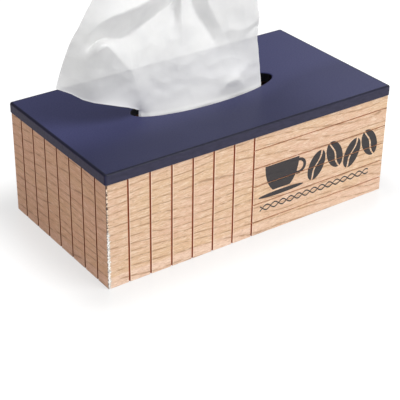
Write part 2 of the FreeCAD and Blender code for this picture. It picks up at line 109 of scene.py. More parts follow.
class Shader:
    """A new material and short calls that add nodes to it."""

    def __init__(self, name):
        self.material = bpy.data.materials.new(name)
        self.material.use_nodes = True
        self.tree = self.material.node_tree
        self.tree.nodes.clear()
        self.output = self.tree.nodes.new("ShaderNodeOutputMaterial")

    def node(self, kind, **settings):
        made = self.tree.nodes.new("ShaderNode" + kind)
        for key, value in settings.items():
            setattr(made, key, value)
        return made

    def put(self, value, socket):
        """Links an output to a socket, or writes a plain value there."""
        if isinstance(value, bpy.types.NodeSocket):
            self.tree.links.new(value, socket)
        else:
            socket.default_value = value

    def place(self):
        """Coordinates in the row frame at rest, in metres, which move with the body."""
        return self.node("TexCoord").outputs["Object"]

    def split(self, vector):
        parts = self.node("SeparateXYZ")
        self.put(vector, parts.inputs[0])
        return parts.outputs["X"], parts.outputs["Y"], parts.outputs["Z"]

    def join(self, x, y, z):
        parts = self.node("CombineXYZ")
        for value, socket in zip((x, y, z), parts.inputs):
            self.put(value, socket)
        return parts.outputs[0]

    def math(self, operation, *values):
        made = self.node("Math", operation=operation)
        for value, socket in zip(values, made.inputs):
            self.put(value, socket)
        return made.outputs[0]

    def chain(self, operation, values):
        """An operation on two values, taken over all of them from left to right."""
        total = values[0]
        for value in values[1:]:
            total = self.math(operation, total, value)
        return total

    def plus(self, *values):
        return self.chain("ADD", values)

    def times(self, *values):
        return self.chain("MULTIPLY", values)

    def most(self, *values):
        return self.chain("MAXIMUM", values)

    def minus(self, value, other):
        return self.math("SUBTRACT", value, other)

    def positive(self, value):
        return self.math("ABSOLUTE", value)

    def below(self, value, limit):
        return self.math("LESS_THAN", value, limit)

    def above(self, value, limit):
        return self.math("GREATER_THAN", value, limit)

    def length(self, across, up):
        return self.math("SQRT", self.plus(self.times(across, across), self.times(up, up)))

    def noise(self, vector, per_metre, detail, roughness=0.5):
        """Noise from 0 to 1. per_metre scales all axes, or each of the three."""
        if isinstance(per_metre, float):
            per_metre = (per_metre, per_metre, per_metre)
        scaled = self.node("VectorMath", operation="MULTIPLY")
        self.put(vector, scaled.inputs[0])
        self.put(per_metre, scaled.inputs[1])
        made = self.node("TexNoise")
        self.put(scaled.outputs[0], made.inputs["Vector"])
        made.inputs["Scale"].default_value = 1.0
        made.inputs["Detail"].default_value = detail
        made.inputs["Roughness"].default_value = roughness
        made.inputs["Distortion"].default_value = 0.0
        return made.outputs["Fac"]

    def step(self, value, start, end, low=0.0, high=1.0):
        """Goes smoothly from low at start to high at end, and stays there."""
        made = self.node("MapRange", interpolation_type="SMOOTHSTEP")
        self.put(value, made.inputs["Value"])
        for socket, number in zip(("From Min", "From Max", "To Min", "To Max"), (start, end, low, high)):
            made.inputs[socket].default_value = number
        return made.outputs["Result"]

    def mix(self, share, a, b, blend="MIX"):
        made = self.node("Mix", data_type="RGBA", blend_type=blend)
        self.put(share, made.inputs["Factor"])
        self.put(a, made.inputs[6])
        self.put(b, made.inputs[7])
        return made.outputs[2]

    def blend(self, share, first, second):
        """Two surfaces mixed: only the first one at a share of 0."""
        made = self.node("MixShader")
        for value, socket in zip((share, first.outputs[0], second.outputs[0]), made.inputs):
            self.put(value, socket)
        return made

    def bump(self, height, strength, distance):
        made = self.node("Bump")
        made.inputs["Strength"].default_value = strength
        made.inputs["Distance"].default_value = distance
        self.put(height, made.inputs["Height"])
        return made.outputs["Normal"]

    def principled(self, colour, roughness, **constants):
        surface = self.node("BsdfPrincipled")
        self.put(colour, surface.inputs["Base Color"])
        self.put(roughness, surface.inputs["Roughness"])
        for name, value in constants.items():
            surface.inputs[name.replace("_", " ")].default_value = value
        return surface

    def end(self, surface):
        self.put(surface.outputs[0], self.output.inputs["Surface"])
        return self.material

    def finish(self, colour, roughness, normal, **constants):
        """Ends in one Principled shader."""
        surface = self.principled(colour, roughness, **constants)
        self.put(normal, surface.inputs["Normal"])
        return self.end(surface)


# ---------------------------------------------------------------- the print on the front

# It lies right of the upright grooves. Sizes in pairs are half axes, places in pairs are x and z.
CUP_X, CUP_RIM = 0.0245, 0.0550
BOWL, BOWL_HEIGHT = (0.0158, 0.0245), 0.0212
SAUCER, SAUCER_DROP = (0.0210, 0.0019), 0.0245
HANDLE, HANDLE_OFF, HANDLE_DROP = (0.0070, 0.0066), 0.0156, 0.0082
HANDLE_HOLE, HANDLE_START = 0.62, 0.0134
BEAN, BEAN_TILT = (0.0073, 0.0124), 24
BEAN_PLACES = ((0.0575, 0.0420), (0.0750, 0.0460), (0.0925, 0.0420), (0.1098, 0.0460))
# half the slit's width and its swing, in shares of the bean's half width, and radians a metre
SLIT, SLIT_SWING, SLIT_RADIANS = 0.09, 0.12, 360.0
PLAIT_Z, PLAIT_WAVE, PLAIT_SWING, PLAIT_STRAND = 0.0210, 0.0150, 0.0021, 0.00060
PRINT_MIDDLE, PRINT_HALF = 0.0580, 0.0530


def oval(s, across, up, centre, size, tilt=0):
    """How far out a point is in an oval, 1 on its rim, and how far across. Sizes are half axes."""
    across, up = s.minus(across, centre[0]), s.minus(up, centre[1])
    cos, sin = math.cos(math.radians(tilt)), math.sin(math.radians(tilt))
    turned_across = s.plus(s.times(across, cos / size[0]), s.times(up, sin / size[0]))
    turned_up = s.minus(s.times(up, cos / size[1]), s.times(across, sin / size[1]))
    return s.length(turned_across, turned_up), turned_across


def cup_print(s, x, z):
    """1 on the cup with its handle and saucer."""
    bowl = s.below(oval(s, x, z, (CUP_X, CUP_RIM), BOWL)[0], 1.0)
    bowl = s.times(bowl, s.below(z, CUP_RIM), s.above(z, CUP_RIM - BOWL_HEIGHT))
    saucer = s.below(oval(s, x, z, (CUP_X, CUP_RIM - SAUCER_DROP), SAUCER)[0], 1.0)
    ring = oval(s, x, z, (CUP_X + HANDLE_OFF, CUP_RIM - HANDLE_DROP), HANDLE)[0]
    handle = s.times(s.below(ring, 1.0), s.above(ring, HANDLE_HOLE), s.above(x, CUP_X + HANDLE_START))
    return s.most(bowl, saucer, handle)


def cafe_print(s, x, z):
    """1 where the front is printed: a cup on a saucer, four coffee beans and a plait below them."""
    drawn = cup_print(s, x, z)
    for number, place in enumerate(BEAN_PLACES):
        tilt = BEAN_TILT if number % 2 else -BEAN_TILT
        out, across = oval(s, x, z, place, BEAN, tilt)
        swing = s.times(s.math("SINE", s.times(z, SLIT_RADIANS)), SLIT_SWING)
        solid = s.above(s.positive(s.plus(across, swing)), SLIT)
        drawn = s.most(drawn, s.times(s.below(out, 1.0), solid))
    swing = s.times(s.math("SINE", s.times(x, 2 * math.pi / PLAIT_WAVE)), PLAIT_SWING)
    within = s.below(s.positive(s.minus(x, PRINT_MIDDLE)), PRINT_HALF)
    for strand in (swing, s.times(swing, -1.0)):
        off = s.positive(s.minus(s.minus(z, PLAIT_Z), strand))
        drawn = s.most(drawn, s.times(s.below(off, PLAIT_STRAND), within))
    return drawn


# ---------------------------------------------------------------- wood, board, paint and steel

# growth rings: the step between two, how far they drift and wander, and how much they slope
RING_PERIOD, RING_DRIFT, RING_WANDER, RING_SLOPE = 0.0066, 0.034, 0.0030, 0.05
# the colour of a groove's sides reaches this far past them
SKIN = 0.00003
# the strip of sapwood: its top, how soft that edge is and how far it wavers
SAP_TOP, SAP_FADE, SAP_WAVE = 0.0125, 0.0017, 0.006
# the raw arris at a groove ends between these widths
RAW_END, RAW_START = 0.0009, 0.0004
# widths of the chips at the near corner, with splinters and bare, and how high the bare ones reach
CHIP, BARE_CHIP = 0.0016, 0.0030
BARE_TOP, BARE_FADE = 0.050, 0.010
# what lies no deeper than this under a board's outer face is coloured as the floor of a groove
GROOVE_FLOOR = 0.0003

WOOD, WOOD_CLOUD, SAPWOOD = rgb(229, 196, 159), rgb(231, 193, 167), rgb(243, 214, 196)
RING_BAND, RING_LINE = rgb(211, 171, 134), rgb(158, 118, 85)
DARK_FIBRE, LIGHT_FLECK, PORE = rgb(199, 158, 122), rgb(247, 225, 202), rgb(142, 101, 71)
RAW_EDGE, INK = rgb(250, 230, 206), rgb(25, 27, 36)
SPLINTER, PALE_SPLINTER, END_SPLINTER = rgb(84, 54, 40), rgb(244, 224, 200), rgb(150, 112, 88)
BARE, DIRT = rgb(252, 249, 244), rgb(128, 112, 102)


def wood_grain(s, run, depth, z):
    """The wood's colour with its grain along run, and where its fibres and ring lines are."""
    grain = s.join(run, depth, z)

    # growth rings: thin wavy dark lines a few millimetres apart, broken along their length
    drift = s.noise(grain, (7.0, 1.0, 20.0), 2.0)
    wander = s.noise(grain, (22.0, 1.0, 50.0), 3.0)
    waver = s.times(drift, RING_DRIFT), s.times(wander, RING_WANDER)
    ring_place = s.plus(z, *waver, s.times(run, RING_SLOPE))
    ring = s.math("SINE", s.times(ring_place, 2 * math.pi / RING_PERIOD))
    breaks = s.noise(grain, (80.0, 1.0, 420.0), 3.0, 0.65)
    ring_line = s.times(s.step(ring, 0.78, 1.0), s.step(breaks, 0.36, 0.60))

    # fibres: short fine flecks, light and dark, and the odd pore
    fibre = s.noise(grain, (190.0, 1.0, 1500.0), 4.0, 0.7)
    deeper = s.join(run, s.plus(depth, 3.0), z)
    light_fleck = s.noise(deeper, (120.0, 1.0, 1100.0), 3.0, 0.7)
    pore = s.step(s.noise(grain, (330.0, 1.0, 1900.0), 1.0), 0.62, 0.72)
    cloud = s.noise(grain, (14.0, 1.0, 40.0), 3.0)

    # a paler, pinker strip of sapwood along the bottom
    edge = s.noise(s.join(run, 0.0, 0.0), (30.0, 1.0, 1.0), 2.0)
    sap = s.step(s.plus(z, s.times(edge, SAP_WAVE)), SAP_TOP, SAP_TOP - SAP_FADE)
    sap = s.times(sap, s.step(run, -0.010, 0.020, 0.85, 0.40))

    colour = s.mix(s.step(cloud, 0.34, 0.66), WOOD, WOOD_CLOUD)
    for share, layer in (
        (sap, SAPWOOD),
        (s.times(s.step(ring, -0.7, 0.8), 0.30), RING_BAND),
        (s.step(fibre, 0.34, 0.64, 0.0, 0.60), DARK_FIBRE),
        (s.step(light_fleck, 0.48, 0.66, 0.0, 0.62), LIGHT_FLECK),
        (s.times(ring_line, 0.70), RING_LINE),
        (s.times(pore, 0.45), PORE),
    ):
        colour = s.mix(share, colour, layer)
    return colour, fibre, ring_line


def corner_chips(s, place, near, z, on_long):
    """Where the arris at the near corner is chipped, and its colour there.

    It has dark and pale splinters above, and bare white filler below.
    """
    height = s.join(0.0, 0.0, z)
    ragged = s.noise(height, (1.0, 1.0, 620.0), 4.0, 0.7)
    lower = s.step(z, BARE_TOP, BARE_TOP - BARE_FADE)
    widest = s.plus(CHIP, s.times(lower, BARE_CHIP - CHIP if on_long else 0.0))
    chip = s.below(near, s.times(s.step(ragged, 0.30, 0.70, 0.15, 1.0), widest))
    dash = s.step(s.noise(height, (1.0, 1.0, 380.0), 2.0), 0.47, 0.53)
    speckle = s.step(s.noise(place, 900.0, 1.0), 0.45, 0.6)
    splinters = s.mix(dash, SPLINTER, PALE_SPLINTER if on_long else END_SPLINTER)
    filler = s.mix(s.times(speckle, 0.5), BARE, DIRT) if on_long else s.mix(dash, DIRT, BARE)
    return chip, s.mix(lower, splinters, filler)


def wood_veneer(name, along, first_groove, pitch, stain, groove_side, raw_edge, printed=False):
    """Pale wood with its grain level, along the wall's length, and paler edges at its upright grooves.

    Its arrises are chipped at the near corner.
    """
    s = Shader(name)
    place = s.place()
    x, y, z = s.split(place)
    on_long = along == "X"
    run, depth = (x, y) if on_long else (y, x)
    colour, fibre, ring_line = wood_grain(s, run, depth, z)

    # the back wall is the front one turned round
    outward = s.times(run, s.times(s.math("SIGN", y), -1.0)) if on_long else run
    from_groove = s.minus(outward, first_groove)
    right_of = s.math("FLOORED_MODULO", from_groove, pitch)
    middle = GROOVE_STEPS / 2 * pitch
    among = s.below(s.positive(s.minus(from_groove, middle)), middle + 0.4 * pitch)

    # the arris right of each upright groove is raw and pale
    raw = s.times(s.step(right_of, GROOVE / 2 + RAW_END, GROOVE / 2 + RAW_START), among)
    colour = s.mix(s.times(raw, raw_edge), colour, RAW_EDGE)
    colour = s.mix(1.0, colour, stain, blend="MULTIPLY")
    side = s.most(s.below(right_of, GROOVE / 2 + SKIN), s.above(right_of, pitch - GROOVE / 2 - SKIN))
    colour = s.mix(s.times(side, among), colour, groove_side)

    if printed:
        wear_and_sheen = s.step(fibre, 0.60, 0.75, 0.97, 0.80)
        on_front = s.below(y, -(HALF_WIDTH - VENEER / 2))
        colour = s.mix(s.times(cafe_print(s, x, z), s.times(wear_and_sheen, on_front)), colour, INK)

    near = s.plus(x, HALF_LENGTH) if on_long else s.plus(y, HALF_WIDTH)
    chip, chipped = corner_chips(s, place, near, z, on_long)
    colour = s.mix(chip, colour, chipped)

    height = s.plus(s.times(fibre, 0.6), s.times(ring_line, -0.5), s.times(chip, -1.5))
    return s.finish(colour, s.step(fibre, 0.2, 0.8, 0.62, 0.48), s.bump(height, 0.35, 0.0004))


def wall_board(name):
    """Fibreboard: stained inside, sawn at the rim, and burnt red-brown where the grooves show it."""
    s = Shader(name)
    place = s.place()
    x, y, z = s.split(place)
    chips = s.noise(place, 700.0, 4.0, 0.65)
    blotch = s.noise(place, 26.0, 3.0)
    coarse = s.step(chips, 0.3, 0.7)

    inside = s.mix(s.step(blotch, 0.3, 0.7), rgb(150, 101, 70), rgb(168, 118, 84))
    inside = s.mix(s.step(chips, 0.35, 0.7, 0.0, 0.35), inside, rgb(122, 80, 54))
    rim = s.mix(coarse, rgb(172, 128, 90), rgb(146, 104, 68))
    colour = s.mix(s.step(z, WALL_TOP - 0.0006, WALL_TOP - 0.0002), inside, rim)

    # groove floors, burnt darker in the end walls
    long_face = s.above(s.positive(y), HALF_WIDTH - VENEER - GROOVE_FLOOR)
    end_face = s.above(s.positive(x), HALF_LENGTH - VENEER - GROOVE_FLOOR)
    colour = s.mix(long_face, colour, s.mix(coarse, rgb(196, 118, 80), rgb(160, 88, 58)))
    colour = s.mix(end_face, colour, s.mix(coarse, rgb(156, 84, 40), rgb(126, 62, 26)))
    return s.finish(colour, s.step(chips, 0.3, 0.7, 0.82, 0.95), s.bump(chips, 0.25, 0.0003))


def base_board(name):
    """Fibreboard base: stained as the inside above, raw and paler below."""
    s = Shader(name)
    place = s.place()
    z = s.split(place)[2]
    chips = s.noise(place, 600.0, 4.0, 0.65)
    blotch = s.step(s.noise(place, 20.0, 3.0), 0.3, 0.7)
    stained = s.mix(blotch, rgb(146, 98, 68), rgb(164, 114, 80))
    raw = s.mix(blotch, rgb(186, 150, 112), rgb(172, 134, 98))
    colour = s.mix(s.step(z, 0.0008, 0.0014), raw, stained)
    colour = s.mix(s.step(chips, 0.35, 0.7, 0.0, 0.30), colour, rgb(118, 80, 54))
    return s.finish(colour, s.step(chips, 0.3, 0.7, 0.8, 0.95), s.bump(chips, 0.25, 0.0003))


NAVY, NAVY_HAZE = rgb(39, 41, 72), rgb(43, 45, 77)
# the first colour below is a painted sheen: the top's paler tone where it reflects the lamps
NAVY_SHEEN, NAVY_PEEL = rgb(61, 63, 102), rgb(36, 37, 66)
SIDE_PAINT, SIDE_PAINT_DARK = rgb(55, 54, 75), rgb(47, 46, 65)
END_PAINT, END_PAINT_DARK = rgb(34, 25, 60), rgb(27, 19, 50)
# the second colour here is painted shade: the slot's wall near black, as if in shadow
ARRIS_PAINT, SLOT_SHADE = rgb(20, 20, 36), rgb(14, 14, 20)
PRIMER, PRIMER_LIGHT, PRIMER_DARK = rgb(158, 148, 148), rgb(174, 162, 158), rgb(138, 126, 126)
# each pair runs from where a colour is absent to where it is full, from the lid's edge or from its top;
# the slot's pair places its painted shade
SIDE_FADE, ARRIS_FADE, ARRIS_DEPTH, SLOT_DEPTH = (
    (0.0006, 0.0002), (0.0021, 0.0015), (0.0010, 0.0006), (0.0004, 0.0010)
)


def painted_lid(name):
    """Navy satin paint on top and on the edges, paler toward the back and right as a painted sheen, near
    black in the slot as painted shade, and thin rough grey primer below.
    """
    s = Shader(name)
    place = s.place()
    x, y, z = s.split(place)
    peel = s.noise(place, 900.0, 3.0, 0.55)
    haze = s.noise(place, 16.0, 3.0)
    fibre = s.noise(place, (160.0, 420.0, 420.0), 4.0, 0.6)

    # painted sheen: the top is paler toward the back and the right, standing in for the lamps' reflection
    # there
    wear_and_sheen = s.most(s.step(y, -0.045, 0.005), s.step(x, 0.02, 0.09, 0.0, 0.6))
    paint = s.mix(s.step(haze, 0.3, 0.7), NAVY, NAVY_HAZE)
    paint = s.mix(wear_and_sheen, paint, NAVY_SHEEN)
    paint = s.mix(s.step(peel, 0.4, 0.75, 0.0, 0.18), paint, NAVY_PEEL)

    # the upright faces took less paint, and a dark line runs along the arris above them
    from_end = s.minus(LID_HALF_LENGTH, s.positive(x))
    from_side = s.minus(LID_HALF_WIDTH, s.positive(y))
    from_edge = s.math("MINIMUM", from_end, from_side)
    side = s.step(from_edge, *SIDE_FADE)
    soaked = s.step(fibre, 0.35, 0.7)
    paint = s.mix(side, paint, s.mix(soaked, SIDE_PAINT, SIDE_PAINT_DARK))
    paint = s.mix(s.step(from_end, *SIDE_FADE), paint, s.mix(soaked, END_PAINT, END_PAINT_DARK))
    from_top = s.minus(LID_TOP, z)
    arris = s.times(s.step(from_edge, *ARRIS_FADE), s.step(from_top, *ARRIS_DEPTH))
    paint = s.mix(s.times(arris, 0.85), paint, ARRIS_PAINT)

    # slot wall: near black, a painted shade
    across, over = s.math("DIVIDE", x, SLOT_HALF_LENGTH), s.math("DIVIDE", y, SLOT_HALF_WIDTH)
    ring = s.plus(s.times(across, across), s.times(over, over))
    slot = s.times(s.step(ring, 1.04, 1.01), s.step(from_top, *SLOT_DEPTH))
    paint = s.mix(slot, paint, SLOT_SHADE)

    # underside
    primer = s.mix(s.step(s.noise(place, 38.0, 4.0), 0.35, 0.68), PRIMER, PRIMER_LIGHT)
    primer = s.mix(s.step(fibre, 0.45, 0.75, 0.0, 0.35), primer, PRIMER_DARK)
    under = s.step(z, WALL_TOP + 0.00035, WALL_TOP + 0.0001)
    colour = s.mix(under, paint, primer)

    rough = s.plus(s.step(peel, 0.3, 0.7, 0.36, 0.46), s.times(under, 0.35))
    height = s.plus(peel, s.times(s.times(fibre, side), 2.0))
    return s.finish(colour, rough, s.bump(height, 0.12, 0.0002), Specular_IOR_Level=0.2)


def black_steel(name):
    """Hinge steel with a thin black coat, scuffed in places."""
    s = Shader(name)
    place = s.place()
    grit = s.noise(place, 1500.0, 3.0)
    scuff = s.noise(place, (300.0, 300.0, 900.0), 4.0, 0.7)
    colour = s.mix(s.step(scuff, 0.62, 0.74, 0.0, 0.5), rgb(34, 34, 37), rgb(86, 84, 82))
    return s.finish(colour, s.step(grit, 0.3, 0.7, 0.38, 0.52), s.bump(grit, 0.2, 0.0001), Metallic=0.6)


# from the lid up to this height above it the tissue grows less white and lets more light through; the
# whiter low part is partly the gathered plies and partly painted light
GLOW_HEIGHT = 0.050


def tissue_paper(name, see_through):
    """Thin white tissue: a little of what is behind shows, least where it is gathered in the slot."""
    s = Shader(name)
    place = s.place()
    z = s.split(place)[2]
    crepe = s.noise(place, (1300.0, 1300.0, 500.0), 3.0, 0.6)
    cloud = s.noise(place, 60.0, 3.0)
    colour = s.mix(s.step(cloud, 0.3, 0.7), rgb(232, 232, 232), rgb(238, 238, 237))
    # whiter near the lid: partly the gathered plies, partly painted light for the bounce light the dark
    # lid does not give
    colour = s.mix(s.step(z, LID_TOP + GLOW_HEIGHT, LID_TOP), colour, rgb(250, 250, 250))
    normal = s.bump(crepe, 0.25, 0.0002)

    front = s.principled(colour, 0.85, Specular_IOR_Level=0.2)
    s.put(normal, front.inputs["Normal"])
    through = s.node("BsdfTranslucent")
    s.put(colour, through.inputs["Color"])
    s.put(normal, through.inputs["Normal"])
    paper = s.blend(s.step(z, LID_TOP, LID_TOP + GLOW_HEIGHT, 0.0, 0.15), front, through)
    if not see_through:
        return s.end(paper)
    share = s.step(z, LID_TOP - 0.002, LID_TOP + 0.012, see_through / 3, see_through)
    return s.end(s.blend(share, paper, s.node("BsdfTransparent")))


# ---------------------------------------------------------------- mesh helpers


def add_mesh(name, points, faces, material, smooth=True):
    data = bpy.data.meshes.new(name)
    data.from_pydata([tuple(p) for p in points], [], faces)
    data.materials.append(material)
    data.update()
    made = bpy.data.objects.new(name, data)
    bpy.context.scene.collection.objects.link(made)
    if smooth:
        data.shade_smooth()
    return made


# ---------------------------------------------------------------- the pulled tissue

# Its outline and folds are drawn on the photograph: pixel across, pixel down, and the depth y in mm of
# that point. The bottom line follows the front of the lid's slot.
SLOT_LINE = (
    (139.6, 110.5, -4.8), (141.5, 112.8, -5), (144.5, 114.6, -5.4), (150.5, 114.8, -7.4),
    (165, 113.7, -9.2), (185, 109.5, -11.8), (200, 106, -13), (225, 98, -13.6), (245, 91.5, -12.6),
    (261, 83.5, -9.8),
)
FLAP_EDGE = (
    (55.5, 88.9, 3), (71, 94, 0.5), (83, 100, -2.5), (94, 103, -5.5), (110, 105.2, -9), (120, 106.6, -9),
    (128, 107.6, -8), (134, 108.8, -6.4), (139.6, 110.5, -4.8),
)
LEFT_EDGE = (
    (55.5, 88.9, 3), (60, 72, 0.5), (65, 56, -4.5), (71, 40, -10), (78, 28, -14), (86, 12, -17),
    (92.5, 0, -18), (103, -31, -20.5),
)
RIGHT_EDGE = (
    (261, 83.5, -9.8), (259.3, 60, -11), (257.6, 40, -12), (257.6, 35, -12), (259.3, 17, -12.5),
    (258, 8, -12.8), (257.3, 0, -12.5), (256.5, -30, -9.5), (259, -60, -5),
)
CROWN = (
    (103, -31, -20.5), (122, -38, -22), (142, -41, -13.5), (160, -43, -1), (178, -47, 8), (196, -50, 3),
    (214, -53, -6), (232, -57, -8.5), (246, -58, -7), (259, -60, -5),
)
# the line between the flap on the left and the sheet's body
SEAM = (
    (139.6, 110.5), (139.8, 102), (138, 89.5), (132, 72), (129, 50), (130, 20), (135, -12), (142, -41),
)
FOLDS = (
    # bright crest over the flap, down its right side
    ((90, 57, -14.5), (94, 54, -17), (97.5, 50.5, -19.5), (101, 47, -21), (104.5, 45, -21.6),
     (107.5, 45, -21.2), (112, 49.5, -18.8), (117, 55, -16.4), (122, 61, -14.2), (127, 66.5, -12.2),
     (131, 70.5, -11)),
    # soft line that parts the flap's dark side from its middle
    ((90, 57, -14.5), (91, 68, -11), (92, 80, -8.5), (93, 92, -6.8), (94, 103, -5.5)),
    # edge where the flap turns into the slot
    ((119, 71, -11.8), (125, 77.5, -10.8), (130, 83.5, -9)),
    # valley under the grey band
    ((87.5, 50, -12), (91, 45.5, -11.5), (96, 41, -11), (102, 38.8, -10.6), (111, 39.5, -8),
     (122, 38, -4), (130, 34, -1), (140, 26, 3), (150, 18.5, 5), (160, 11, 6), (172, 1, 6),
     (178, -10, 6), (182, -30, 7)),
    # ridge over the grey band
    ((84, 43, -12), (88, 37, -15), (93, 31, -18), (99, 25, -20), (108, 19, -22), (120, 14, -23),
     (135, 8, -21), (150, 1, -15), (160, -8, -9), (168, -26, -4)),
    # upright valley and the ridge right of it
    ((175, 10, 3), (173, 24, -1), (170, 40, -5)),
    ((184, -30, -1), (182, -6, -2), (182, 8, -3), (183, 25, -5.5), (183, 45, -6.4), (178, 70, -8.6)),
    # slanting valley on the right, with its shaded far side
    ((190, -30, 3), (190, -6, 3), (191, 6, 2), (197, 16, 0.5), (205, 28, -2), (213, 40, -5)),
    ((207, -30, -6), (207, -6, -6), (209, 4, -6.5), (214, 14, -7), (220, 25, -8), (227, 38, -8.5),
     (235, 55, -10.6), (241, 70, -12.8), (245, 84, -13)),
    # foot of the bright patch
    ((150, 42, -3.4), (143, 56, -4.6), (137, 68, -6.6)),
    # small creases low down
    ((147, 104, -7), (149, 92, -6.6), (151, 80, -6)),
    ((158, 90, -6.8), (165.5, 83, -7.6), (172, 77, -7.6)),
    ((175, 82, -8.4), (172, 100, -9.2)),
    ((222, 91, -14), (229, 82, -15.4), (238, 79, -14.8), (243, 84, -13.4)),
    # wrinkles at the right edge
    ((230, 29, -9.5), (238, 30, -11), (246, 29, -12), (252, 25, -12.5), (258, 20, -12.5)),
    ((248, 33, -10.5), (254, 28, -10), (258.5, 24, -9.5)),
)

# the sheet's net
FLAP_COLUMNS = 78
BODY_COLUMNS = 156
UPRIGHT_ROWS = 165
# points taken along the crown and along each line above, and how the depths between them are worked out
CROWN_POINTS = 400
LINE_MARKS = 240
START_BATCH = 2000
STRETCH_TURNS = 1200
BLEND_TURNS = 3
# how far the cut edges curl, in mm, and over how many rows or columns
FLAP_CURL, BODY_CURL, RIGHT_CURL = 0.3, 0.4, 0.9
CURL_REACH = 1.8
# rows over which the wrinkles grow, from none at the slot; then waves a metre, and height in mm
WRINKLE_ROWS = 21
SWELL, CREASE, RIPPLE = (45, 0.8), (75, 0.5), (130, 0.30)
# the foot in the slot and the tail on the pack
SLOT_GAP = 0.0012
FOOT_HALF_WIDTH = 0.045
FOOT_DEPTH = -0.008
FOOT_HEIGHT = 0.0022
RISER_ROWS = 30
TAIL_ROWS = 26
TAIL_LENGTH = 0.060
TAIL_WIDENING = 0.55
TAIL_HEIGHT = 0.0006
# their waves: how high, in metres or as a share of the tail's length, and radians in half the width
FOOT_WAVE, RISER_WAVE, TAIL_WAVE, TAIL_RIPPLE = (0.0015, 7), (0.0018, 11), (0.06, 5), (0.0004, 23)


def on_sight(pixels, depth):
    """The points in the row frame that are seen at these pixels, at these depths y in mm."""
    right, up = pixels[..., :1] - PICTURE / 2, PICTURE / 2 - pixels[..., 1:2]
    sight = np.array(AHEAD) + (right * np.array(RIGHT) + up * np.array(UP)) / FOCAL_PIXELS
    eye = np.array(EYE)
    return eye + sight * ((depth[..., None] * MM - eye[1]) / sight[..., 1:2])


def along_line(points, count):
    """Points at even steps along a broken line."""
    points = np.array(points, float)
    steps = np.linalg.norm(np.diff(points[:, :2], axis=0), axis=1)
    at = np.concatenate([[0], np.cumsum(steps)])
    wanted = np.linspace(0, at[-1], count)
    return np.stack([np.interp(wanted, at, column) for column in points.T], axis=1)


def patch(bottom, top, left, right):
    """A net of points between four border lines."""
    rows, columns = len(left), len(bottom)
    v = np.linspace(0, 1, rows)[:, None, None]
    u = np.linspace(0, 1, columns)[None, :, None]
    level = (1 - v) * bottom[None] + v * top[None]
    upright = (1 - u) * left[:, None] + u * right[:, None]
    corners = (
        (1 - u) * (1 - v) * bottom[0] + u * (1 - v) * bottom[-1] + (1 - u) * v * top[0] + u * v * top[-1]
    )
    return level + upright - corners


def relax(depth, fixed, turns):
    """Stretches the depths between the fixed ones, as paper stretches between its folds."""
    for _ in range(turns):
        wide = np.pad(depth, 1, mode="edge")
        mean = (wide[:-2, 1:-1] + wide[2:, 1:-1] + wide[1:-1, :-2] + wide[1:-1, 2:]) / 4
        depth = np.where(fixed, depth, mean)
    return depth


def sheet_pixels():
    """Where the net of the sheet is seen: the flap, then the body, in rows from the slot to the crown."""
    crown = along_line(CROWN, CROWN_POINTS)
    split = int(np.argmin(np.linalg.norm(crown[:, :2] - np.array(SEAM[-1], float), axis=1)))
    seam = along_line(SEAM, UPRIGHT_ROWS)
    flap = patch(
        along_line(FLAP_EDGE, FLAP_COLUMNS + 1)[:, :2],
        along_line(crown[: split + 1], FLAP_COLUMNS + 1)[:, :2],
        along_line(LEFT_EDGE, UPRIGHT_ROWS)[:, :2],
        seam,
    )
    body = patch(
        along_line(SLOT_LINE, BODY_COLUMNS + 1)[:, :2],
        along_line(crown[split:], BODY_COLUMNS + 1)[:, :2],
        seam,
        along_line(RIGHT_EDGE, UPRIGHT_ROWS)[:, :2],
    )
    return np.concatenate([flap[:, :-1], body], axis=1)


def fold_depths(pixels):
    """The depth where a border or a fold passes, as an average, and whether one passes there."""
    lines = (SLOT_LINE, FLAP_EDGE, LEFT_EDGE, RIGHT_EDGE, CROWN, *FOLDS)
    marks = np.concatenate([along_line(line, LINE_MARKS) for line in lines])
    total, count = np.zeros(len(pixels)), np.zeros(len(pixels))
    for across, down, depth in marks:
        nearest = int(np.argmin((pixels[:, 0] - across) ** 2 + (pixels[:, 1] - down) ** 2))
        total[nearest] += depth
        count[nearest] += 1
    return total / np.maximum(count, 1), count > 0


def near_depths(pixels, depth, fixed):
    """Every other depth from the fixed ones, the nearest counting most."""
    start = np.empty(len(pixels))
    for i in range(0, len(pixels), START_BATCH):
        gap = ((pixels[i:i + START_BATCH, None] - pixels[fixed][None]) ** 2).sum(-1) + 0.5
        weight = gap ** -1.5
        start[i:i + START_BATCH] = (weight * depth[fixed]).sum(1) / weight.sum(1)
    return np.where(fixed, depth, start)


def sheet_points():
    """The tissue above the slot, as rows from the slot or flap edge up to the crown."""
    pixels = sheet_pixels()
    shape = pixels.shape[:2]
    flat = pixels.reshape(-1, 2)
    depth, fixed = fold_depths(flat)
    depth = near_depths(flat, depth, fixed).reshape(shape)
    depth = relax(depth, fixed.reshape(shape), STRETCH_TURNS)
    depth = relax(depth, np.zeros(shape, bool), BLEND_TURNS)

    # the cut edges curl a little: the lower one forward, the right one back
    rows, columns = np.indices(shape)
    depth -= np.where(columns < FLAP_COLUMNS, FLAP_CURL, BODY_CURL) * np.exp(-rows / CURL_REACH)
    depth += RIGHT_CURL * np.exp(-(shape[1] - 1 - columns) / CURL_REACH)
    return on_sight(pixels, depth)


def crumple(points):
    """Adds small wrinkles across the sheet, none at the slot."""
    up = np.gradient(points, axis=0)
    across = np.gradient(points, axis=1)
    normal = np.cross(across, up)
    normal /= np.maximum(np.linalg.norm(normal, axis=-1, keepdims=True), 1e-12)
    moved = points.copy()
    for i in range(points.shape[0]):
        for j in range(points.shape[1]):
            p = Vector(points[i, j])
            wave = noise.noise(p * SWELL[0]) * SWELL[1]
            wave += noise.noise(p * RIPPLE[0] + Vector((5, 0, 0))) * RIPPLE[1]
            wave += (0.5 - abs(noise.noise(p * CREASE[0] + Vector((0, 9, 0))))) * CREASE[1]
            fade = min(1.0, i / WRINKLE_ROWS)
            moved[i, j] += normal[i, j] * wave * fade * MM
    return moved


